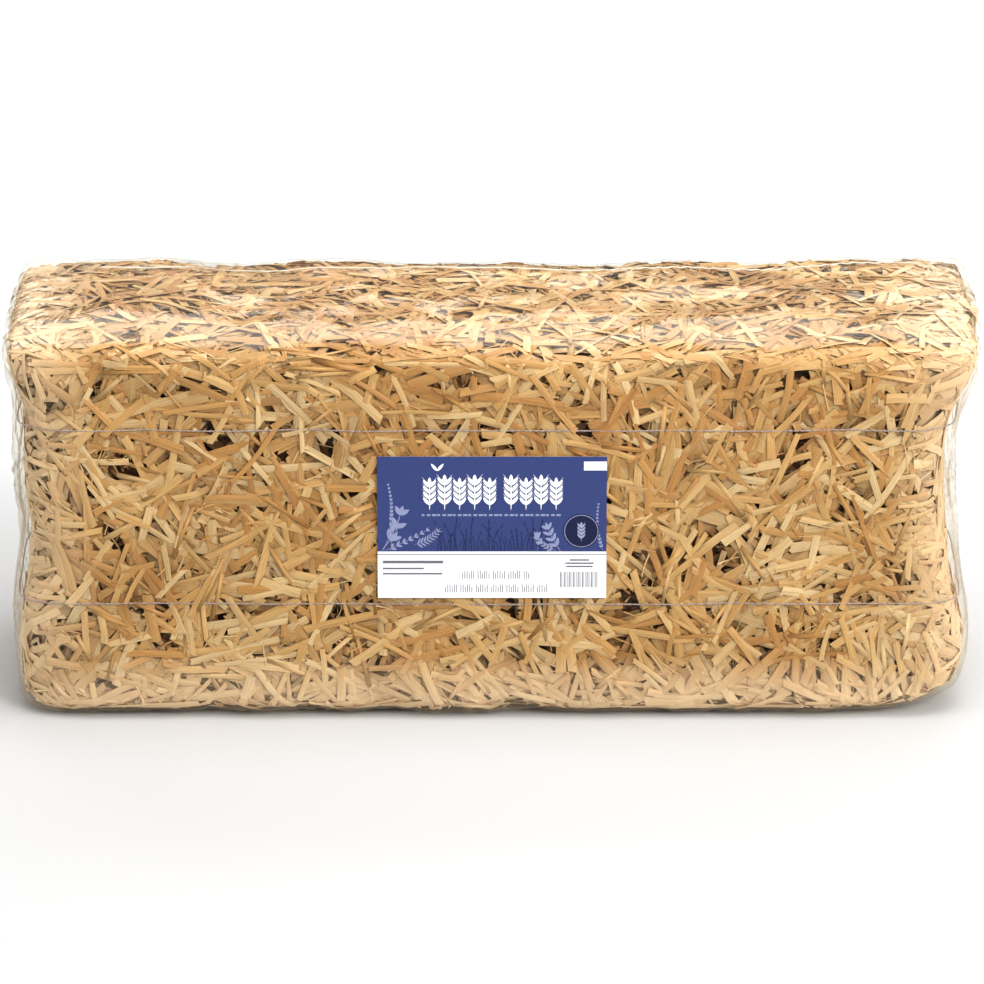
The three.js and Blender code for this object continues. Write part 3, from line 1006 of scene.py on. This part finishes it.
pale = bmesh.new()
spike = curve(page_point(0.025, 0.665), 1.2, 0.47 * page.y, 0.62, 18)
stalk(pale, spike[:9], 0.35)
sprig(pale, spike[7:], 3.6, 2.3, 0.42, 1, 0.45)
sprig(pale, curve(page_point(0.02, 0.66), 0.95, 32, 0.5, 4), 9.5, 6.0, 0.75, 1, 0.8)
sprig(pale, curve(page_point(0.03, 0.665), 0.42, 36, 0.12, 8), 5.2, 3.0, 0.6, 1, 0.5)
sprig(pale, curve(page_point(0.055, 0.665), 1.45, 15, -0.1, 3), 10, 4.4, 0.4, 1, 0.9)
sprig(pale, curve(page_point(0.16, 0.62), 0.2, 21, 0.75, 9), 5.6, 2.0, 0.85, 1, 0.6)
sprig(pale, curve(page_point(0.985, 0.665), 1.9, 0.33 * page.y, -0.5, 14), 3.0, 2.0, 0.45, 1, 0.5)
sprig(pale, curve(page_point(0.80, 0.665), 2.2, 20, -0.35, 5), 7.2, 4.0, 0.75, 1, 0.8)
sprig(pale, curve(page_point(0.78, 0.665), 2.75, 18, -0.5, 7), 4.8, 2.2, 0.6, 1, 0.6)
sprig(pale, curve(page_point(0.70, 0.665), 1.5, 10, 0.3, 3), 6.5, 3.0, 0.4, 1, 0.9)
dash_step = 0.0226
for k in range(27):
    patch(pale, 0.193 + dash_step * k, 0.405, dash_step * (0.55 + 0.3 * (k % 3) / 2), 0.014)
printed("label_leaves", pale, 3, "#8b91b4")

disc = bmesh.new()
bmesh.ops.create_circle(
    disc, cap_ends=True, segments=40, radius=0.079 * page.x, matrix=Matrix.Translation(badge)
)
printed("label_badge", disc, 5, "#171d40")

badge_marks = bmesh.new()
ring_parts = 40
ring_radius = Vector((0.073 * page.x, 0, 0))
for k in range(ring_parts):
    one, two = (
        badge + Matrix.Rotation(2 * math.pi * (k + part) / ring_parts, 3, "Z") @ ring_radius
        for part in (0, 1)
    )
    stalk(badge_marks, [one, two], 0.7)
barley_ear(badge_marks, badge + Vector((0, -8, 0)), 16)
printed("label_badge_marks", badge_marks, 6, "#979dbf")

white = bmesh.new()
patch(white, 0.90, 0.035, 0.1, 0.062)
for k in range(9):
    after_gap = 0.42 if k > 4 else 0
    foot = page_point(0.228 + 0.0655 * (k + after_gap), 0.372)
    barley_ear(white, foot, (0.235 + 0.022 * (k % 2)) * page.y)
for side in (-1, 1):
    leaf(white, page_point(0.262, 0.1), math.pi / 2 - side * 0.7, 7.5, 3.2)
printed("label_barley_ears", white, 4, "#fbfbfd")

grey = bmesh.new()
patch(grey, 0, 0.69, 1, 0.006)
for down, width, height in ((0.735, 0.265, 0.02), (0.785, 0.18, 0.012), (0.822, 0.26, 0.012)):
    patch(grey, 0.022, down, width, height)
for down, start, count in ((0.808, 0.37, 31), (0.905, 0.295, 47)):
    for k in range(count):
        tall = 0.056 - 0.016 * ((k * 5) % 3 == 0)
        if k % 7 != 6:
            patch(grey, start + 0.0096 * k, down + 0.056 - tall, 0.0036, tall)
for down, start, width in ((0.725, 0.84, 0.085), (0.748, 0.82, 0.125), (0.771, 0.825, 0.115)):
    patch(grey, start, down, width, 0.011)
for k in range(26):
    patch(grey, 0.797 + 0.0065 * k, 0.815, 0.0022 + 0.0018 * (k % 3 == 0), 0.11)
printed("label_rules", grey, 1, "#6c6f75")


# ---- floor, lights and camera
# A pale studio floor, soft lights behind, overhead, in front and at both ends, and white all round.
floor_half = 8
near_shade = 0.53
mirrored_shade = 0.15
floor_grid = bmesh.new()
bmesh.ops.create_grid(floor_grid, x_segments=1, y_segments=1, size=floor_half)
floor_mesh = mesh_from(floor_grid, "floor")
floor = placed("floor", floor_mesh)
# Matt floor paint, whiter further back: painted light, so that the far floor, which gets less light,
# still shows white. To the film's mirror it is dark in front, as a black card there would make it,
# so that the front stays clear.
floor_material, tree = new_material("painted_floor")
ray = add(tree, "LightPath")
place = add(tree, "TexCoord")
sides = add(tree, "SeparateXYZ", {"Vector": place.outputs["Object"]})
in_front = add(
    tree, "MapRange", {"Value": sides.outputs["Y"], "From Min": 0.0, "From Max": -0.3}
)
card = add(
    tree, "Math", {0: ray.outputs["Is Glossy Ray"], 1: in_front.outputs["Result"]}, operation="MULTIPLY"
)
# Painted light: from 0.3 m to 1.5 m behind the bale the floor's paint grows whiter.
behind = add(
    tree, "MapRange",
    {"Value": sides.outputs["Y"], "From Min": 0.3, "From Max": 1.5, "To Min": near_shade},
)
floor_shade = add(
    tree, "MapRange",
    {"Value": card.outputs["Value"], "To Min": behind.outputs["Result"], "To Max": mirrored_shade},
)
floor_shader = add(
    tree, "BsdfPrincipled", {"Base Color": floor_shade.outputs["Result"], "Roughness": 0.9}
)
add(tree, "OutputMaterial", {"Surface": floor_shader.outputs["BSDF"]})
floor_mesh.materials.append(floor_material)

world = bpy.data.worlds.new("studio")
bpy.context.scene.world = world
world.use_nodes = True
tree = world.node_tree
tree.nodes.clear()
ray = add(tree, "LightPath")
brightness = add(
    tree, "MapRange", {"Value": ray.outputs["Is Camera Ray"], "To Min": 0.5, "To Max": 1.12}
)
mirrored = add(
    tree, "Math", {0: ray.outputs["Is Glossy Ray"], 1: -0.3, 2: brightness.outputs["Result"]},
    operation="MULTIPLY_ADD",
)
studio_white = add(tree, "Background", {"Strength": mirrored.outputs["Value"], "Color": (1, 1, 1, 1)})
add(tree, "OutputWorld", {"Surface": studio_white.outputs["Background"]})


def soft_light(name, place, target, width, height, watts):
    """A rectangular area light at a place, turned to its target."""
    light = bpy.data.lights.new(name, "AREA")
    light.shape = "RECTANGLE"
    light.size = width
    light.size_y = height
    light.energy = watts
    holder = placed(name, light)
    holder.location = place
    holder.rotation_euler = (Vector(target) - Vector(place)).to_track_quat("-Z", "Y").to_euler()


middle = Vector((0, 0, (film_low.z + film_high.z) / 2))
soft_light("behind", (0, 2.03, 1.92), middle, 3.0, 1.25, 33)
soft_light("overhead", (0.3, -0.3, 2.4), middle, 2.0, 1.4, 54)
soft_light("front", (1.8, -2.5, 2.2), middle, 1.7, 1.2, 88)
soft_light("right", (2.6, -0.9, 0.9), middle, 1.2, 1.0, 26)
soft_light("left", (-2.6, -0.9, 0.9), middle, 1.2, 1.0, 14)

view_height = math.radians(18.5)
view_distance = 4.2
aim = Vector((0, 0, 0.1462))
camera_data = bpy.data.cameras.new("camera")
camera_data.lens = 195.5
camera_data.clip_end = 50
camera = placed("camera", camera_data)
camera.location = aim + view_distance * Vector((0, -math.cos(view_height), math.sin(view_height)))
camera.rotation_euler = (math.pi / 2 - view_height, 0, 0)
bpy.context.scene.camera = camera
bpy.context.scene.view_settings.view_transform = "Standard"
